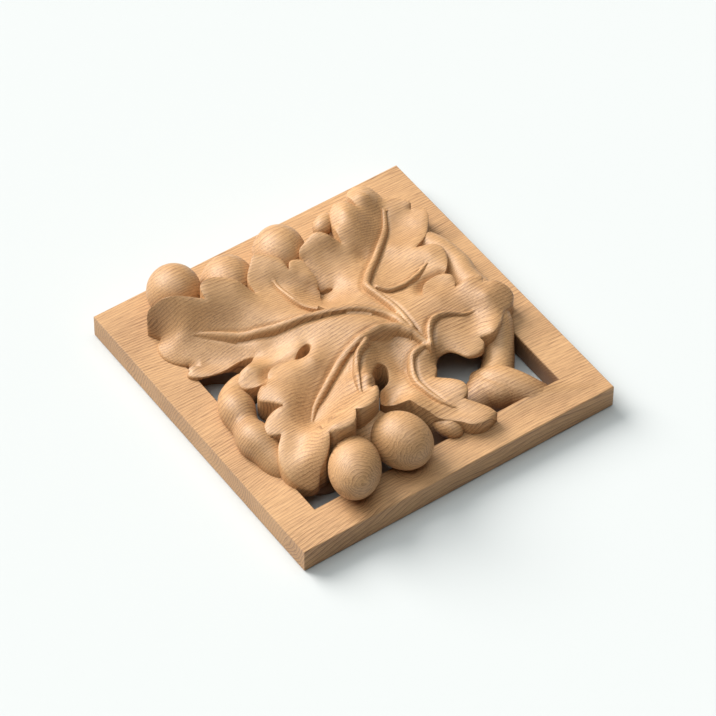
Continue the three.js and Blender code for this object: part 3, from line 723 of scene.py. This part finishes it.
def frame_mesh():
    """The square frame, with its sharp edges just broken."""
    arris = FRAME_ARRIS
    top = FRAME_THICKNESS
    profile = [(1 - arris, 0), (1, arris), (1, top - arris), (1 - arris, top),
               (WINDOW + arris, top), (WINDOW, top - arris), (WINDOW, arris), (WINDOW + arris, 0)]
    points = [corner for half, height in profile for corner in square_corners(half, height)]
    faces = []
    count = len(profile)
    for ring in range(count):
        here = ring * 4
        ahead = (ring + 1) % count * 4
        for corner in range(4):
            after = (corner + 1) % 4
            faces.append((here + corner, here + after, ahead + after, ahead + corner))
    return points, faces


def make_object(name, points, faces):
    """A mesh object, from points in shares of the reach."""
    mesh = bpy.data.meshes.new(name)
    mesh.from_pydata([tuple(REACH * value for value in p) for p in points], [], faces)
    mesh.validate()
    mesh.update()
    made = bpy.data.objects.new(name, mesh)
    bpy.context.scene.collection.objects.link(made)
    return made


def combine(base, other, operation):
    """Adds the other object to the base, or cuts the base with it, and removes it."""
    change = base.modifiers.new("combine", "BOOLEAN")
    change.operation = operation
    change.solver = "MANIFOLD"
    change.object = other
    bpy.context.view_layer.objects.active = base
    bpy.ops.object.modifier_apply(modifier=change.name)
    bpy.data.objects.remove(other)


# Growth layers of the oak: their tilt, how far they bow and waver, and how many years and rows of pores
# there are in one reach
LAYER_TILT = 0.32
LAYER_BOW = 0.62
LAYER_WAVER = 0.045
YEARS = 56.0
PORE_ROWS = 137.0

# Middles of the rings into which the layers curl on the two full acorns, and the rings' reach and edge
SWIRLS = [(-0.578, -0.905, 0.344), (-0.22, -0.909, 0.309)]
SWIRL_REACH = 0.2
SWIRL_EDGE = 0.09
SWIRL_WAVER = 0.16

# Noises of the oak: stretch along each axis, scale, detail, roughness and shift
BOW = ((0.30, 0.9, 0.9), 1.2, 2.0, 0.5, 3.1)
WAVER = ((0.9, 3.0, 3.0), 2.6, 2.0, 0.5, 7.7)
FIBRE = ((4.0, 110.0, 110.0), 1.6, 3.0, 0.7, 0.0)
FLECK = ((14.0, 150.0, 150.0), 1.0, 2.0, 0.6, 1.9)
PATCH = ((0.8, 1.7, 1.7), 1.7, 2.0, 0.5, 5.3)
STRENGTH = ((0.9, 2.4, 2.4), 2.0, 2.0, 0.5, 9.2)

# How much each part of the grain darkens the wood
LATE_WOOD = 0.50
PORES = 0.32
FIBRES = 0.50
FLECKS = 0.55
PATCHES = 0.30

# Powers that narrow the late wood, the pores and the flecks
LATE_WOOD_POWER = 2.6
PORE_POWER = 2.0
FLECK_POWER = 3.0

# Painted shade deep in the window: the wood's colour is darkened where the leaf and the frame shade it.
# How much darker, from how high over the frame's face, and how soon
PAINTED_RECESS_SHADE = 0.58
PAINTED_SHADE_TOP = 0.04
PAINTED_SHADE_RATE = 7.0

# Colours of the oak from light to dark, and the tones at which they stand
OAK_COLOURS = [(0.25, (0.670, 0.396, 0.192, 1)), (0.5, (0.535, 0.297, 0.133, 1)),
               (0.90, (0.215, 0.098, 0.038, 1))]

# Satin finish: its roughness and shine, then how strongly the grain is felt and its depth in metres
OAK_ROUGHNESS = 0.5
OAK_SHINE = 0.6
GRAIN_STRENGTH = 0.35
GRAIN_DEPTH = 0.0003


class Shading:
    """The nodes of one material, with short ways to add to them."""

    def __init__(self, name):
        self.material = bpy.data.materials.new(name)
        self.material.use_nodes = True
        self.nodes = self.material.node_tree.nodes
        self.links = self.material.node_tree.links
        self.shader = self.nodes["Principled BSDF"]

    def object_place(self):
        """The place on the object, in shares of the reach."""
        coords = self.nodes.new("ShaderNodeTexCoord")
        scaled = self.nodes.new("ShaderNodeMapping")
        scaled.inputs["Scale"].default_value = (1 / REACH, 1 / REACH, 1 / REACH)
        self.links.new(coords.outputs["Object"], scaled.inputs["Vector"])
        return scaled.outputs["Vector"]

    def noise(self, at, stretch, scale, detail, roughness, shift):
        """A noise over the place, stretched and shifted."""
        mapping = self.nodes.new("ShaderNodeMapping")
        mapping.inputs["Scale"].default_value = stretch
        mapping.inputs["Location"].default_value = (shift, shift, shift)
        self.links.new(at, mapping.inputs["Vector"])
        made = self.nodes.new("ShaderNodeTexNoise")
        made.inputs["Scale"].default_value = scale
        made.inputs["Detail"].default_value = detail
        made.inputs["Roughness"].default_value = roughness
        self.links.new(mapping.outputs["Vector"], made.inputs["Vector"])
        return made.outputs["Fac"]

    def sums(self, operation, *values):
        """The result of a math operation on numbers and other nodes' results."""
        made = self.nodes.new("ShaderNodeMath")
        made.operation = operation
        for slot, value in enumerate(values):
            if isinstance(value, (int, float)):
                made.inputs[slot].default_value = value
            else:
                self.links.new(value, made.inputs[slot])
        return made.outputs[0]

    def limited(self, value):
        """The value kept from 0 to 1."""
        return self.sums("MINIMUM", self.sums("MAXIMUM", value, 0.0), 1.0)

    def distance(self, at, point):
        """How far the place is from a point."""
        made = self.nodes.new("ShaderNodeVectorMath")
        made.operation = "DISTANCE"
        self.links.new(at, made.inputs[0])
        made.inputs[1].default_value = point
        return made.outputs["Value"]


def growth_layers(wood, at, y, z):
    """Which growth layer each place lies in, with rings on the two full acorns."""
    bow = wood.noise(at, *BOW)
    waver = wood.noise(at, *WAVER)
    layer = wood.sums("MULTIPLY_ADD", z, LAYER_TILT, y)
    layer = wood.sums("MULTIPLY_ADD", bow, LAYER_BOW, layer)
    for middle in SWIRLS:
        distance = wood.distance(at, middle)
        near = wood.limited(wood.sums("DIVIDE", wood.sums("SUBTRACT", SWIRL_REACH, distance), SWIRL_EDGE))
        start = middle[1] + LAYER_TILT * middle[2] + (LAYER_BOW - SWIRL_WAVER) / 2
        ring = wood.sums("MULTIPLY_ADD", waver, SWIRL_WAVER, wood.sums("ADD", distance, start))
        layer = wood.sums("MULTIPLY_ADD", wood.sums("SUBTRACT", ring, layer), near, layer)
    return wood.sums("MULTIPLY_ADD", waver, LAYER_WAVER, layer)


def grain(wood, at, layer):
    """How dark the grain is: late wood and pores in each layer, with fibres, flecks and patches."""
    year = wood.sums("FRACT", wood.sums("MULTIPLY", layer, YEARS))
    pore_row = wood.sums("FRACT", wood.sums("MULTIPLY", layer, PORE_ROWS))
    strength = wood.noise(at, *STRENGTH)
    late_wood = wood.sums("MULTIPLY", wood.sums("POWER", year, LATE_WOOD_POWER), strength)
    pores = wood.sums("MULTIPLY", wood.sums("POWER", pore_row, PORE_POWER), strength)
    flecks = wood.sums("POWER", wood.noise(at, *FLECK), FLECK_POWER)
    tone = wood.sums("MULTIPLY", late_wood, LATE_WOOD)
    tone = wood.sums("MULTIPLY_ADD", pores, PORES, tone)
    tone = wood.sums("MULTIPLY_ADD", wood.noise(at, *FIBRE), FIBRES, tone)
    tone = wood.sums("MULTIPLY_ADD", flecks, FLECKS, tone)
    return wood.sums("MULTIPLY_ADD", wood.noise(at, *PATCH), PATCHES, tone)


def recess_shade_mask(wood, x, y, z):
    """How deep each place lies in the frame's window, from 0 to 1: the mask for the painted shade."""
    reach = wood.sums("MAXIMUM", wood.sums("ABSOLUTE", x), wood.sums("ABSOLUTE", y))
    inside_window = wood.sums("LESS_THAN", reach, WINDOW + FRAME_ARRIS)
    depth = wood.sums("SUBTRACT", FRAME_THICKNESS + PAINTED_SHADE_TOP, z)
    return wood.sums("MULTIPLY", wood.limited(wood.sums("MULTIPLY", depth, PAINTED_SHADE_RATE)), inside_window)


def wood_material():
    """Light oak: growth layers across the panel, cut by the carving into contour lines, and fine fibre,
    with painted shade deep in the window.
    """
    wood = Shading("oak")
    wood.shader.inputs["Roughness"].default_value = OAK_ROUGHNESS
    wood.shader.inputs["Specular IOR Level"].default_value = OAK_SHINE
    at = wood.object_place()
    split = wood.nodes.new("ShaderNodeSeparateXYZ")
    wood.links.new(at, split.inputs[0])
    x, y, z = split.outputs
    tone = grain(wood, at, growth_layers(wood, at, y, z))
    # Painted shade: the wood's colour is darkened deep in the window, where the carving and the frame
    # shade it
    tone = wood.sums("MULTIPLY_ADD", recess_shade_mask(wood, x, y, z), PAINTED_RECESS_SHADE, tone)
    ramp = wood.nodes.new("ShaderNodeValToRGB")
    wood.links.new(tone, ramp.inputs["Fac"])
    stops = ramp.color_ramp.elements
    stops.new(OAK_COLOURS[1][0])
    for stop, (position, colour) in zip(stops, OAK_COLOURS):
        stop.position = position
        stop.color = colour
    wood.links.new(ramp.outputs["Color"], wood.shader.inputs["Base Color"])
    bump = wood.nodes.new("ShaderNodeBump")
    bump.inputs["Strength"].default_value = GRAIN_STRENGTH
    bump.inputs["Distance"].default_value = GRAIN_DEPTH
    bump.invert = True
    wood.links.new(tone, bump.inputs["Height"])
    wood.links.new(bump.outputs["Normal"], wood.shader.inputs["Normal"])
    return wood.material


def carve():
    """The carved piece: frame, leaf, acorns, web and stalks joined, as they are cut from one board."""
    piece = make_object("carved_rosette", *frame_mesh())
    leaf = make_object("leaf", *leaf_mesh())
    for hollow in HOLLOWS:
        combine(leaf, make_object("hollow", *egg_mesh(hollow)), "DIFFERENCE")
    parts = [leaf]
    parts += [make_object("acorn", *egg_mesh(egg)) for egg in ACORNS + [WEB]]
    parts += [make_object("stalk", *stalk_mesh(route, rise)) for route, rise in zip(STALKS, KNOT_RISES)]
    for part in parts:
        combine(piece, part, "UNION")
    mesh = piece.data
    mesh.materials.clear()
    mesh.materials.append(wood_material())
    mesh.shade_smooth()
    mesh.set_sharp_from_angle(angle=math.radians(SHARP_ANGLE))
    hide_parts("rosette")
    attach(piece, "root")


# Pale floor: half its width in reaches, how far it lies below the back in metres, and its finish
FLOOR_HALF = 60
FLOOR_DROP = 0.0002
FLOOR_COLOUR = (0.575, 0.585, 0.585, 1)
FLOOR_ROUGHNESS = 0.9


def stage():
    mesh = bpy.data.meshes.new("floor")
    mesh.from_pydata(square_corners(FLOOR_HALF * REACH, 0), [], [(0, 1, 2, 3)])
    floor = bpy.data.objects.new("floor", mesh)
    bpy.context.scene.collection.objects.link(floor)
    floor.location.z = -FLOOR_DROP
    paint = Shading("pale_floor")
    paint.shader.inputs["Base Color"].default_value = FLOOR_COLOUR
    paint.shader.inputs["Roughness"].default_value = FLOOR_ROUGHNESS
    mesh.materials.append(paint.material)


# Wide soft lights: name, direction towards the light, strength, width in degrees, and colour
SUNS = [
    ("key", (-0.27, 0.75, 0.60), 4.9, 42, (1.0, 0.985, 0.955)),
    ("overhead", (-0.1, 0.1, 1), 2.15, 70, (0.93, 1.0, 1.0)),
]
WORLD_COLOUR = (1, 1, 1, 1)
WORLD_STRENGTH = 0.05


def sun(name, direction, energy, angle, colour):
    light = bpy.data.lights.new(name, "SUN")
    light.energy = energy
    light.angle = math.radians(angle)
    light.color = colour
    made = bpy.data.objects.new(name, light)
    made.rotation_euler = Vector(direction).to_track_quat("Z", "Y").to_euler()
    bpy.context.scene.collection.objects.link(made)


def lights():
    for values in SUNS:
        sun(*values)
    world = bpy.data.worlds.new("studio")
    world.use_nodes = True
    background = world.node_tree.nodes["Background"]
    background.inputs["Color"].default_value = WORLD_COLOUR
    background.inputs["Strength"].default_value = WORLD_STRENGTH
    bpy.context.scene.world = world
    bpy.context.scene.view_settings.view_transform = "Standard"


# The photograph's camera: where it stands and looks, in shares of the reach from the middle of the back
EYE = Vector((-9.110, -12.867, 17.744))
FORWARD = Vector((0.38606, 0.54293, -0.74578))
RIGHT = Vector((0.81876, -0.57411, 0.00589))

# Its lens and sensor in millimetres, and the nearest and farthest that it sees, in reaches
LENS = 221.93
SENSOR = 36.0
NEAREST = 0.1
FARTHEST = 100


def camera():
    data = bpy.data.cameras.new("camera")
    data.lens = LENS
    data.sensor_width = SENSOR
    data.sensor_fit = "HORIZONTAL"
    data.clip_start = NEAREST * REACH
    data.clip_end = FARTHEST * REACH
    made = bpy.data.objects.new("camera", data)
    up = RIGHT.cross(FORWARD).normalized()
    turn = Matrix((RIGHT.normalized(), up, -FORWARD.normalized())).transposed()
    made.matrix_world = Matrix.Translation(EYE * REACH) @ turn.to_4x4()
    bpy.context.scene.collection.objects.link(made)
    bpy.context.scene.camera = made


camera()
lights()
stage()
carve()
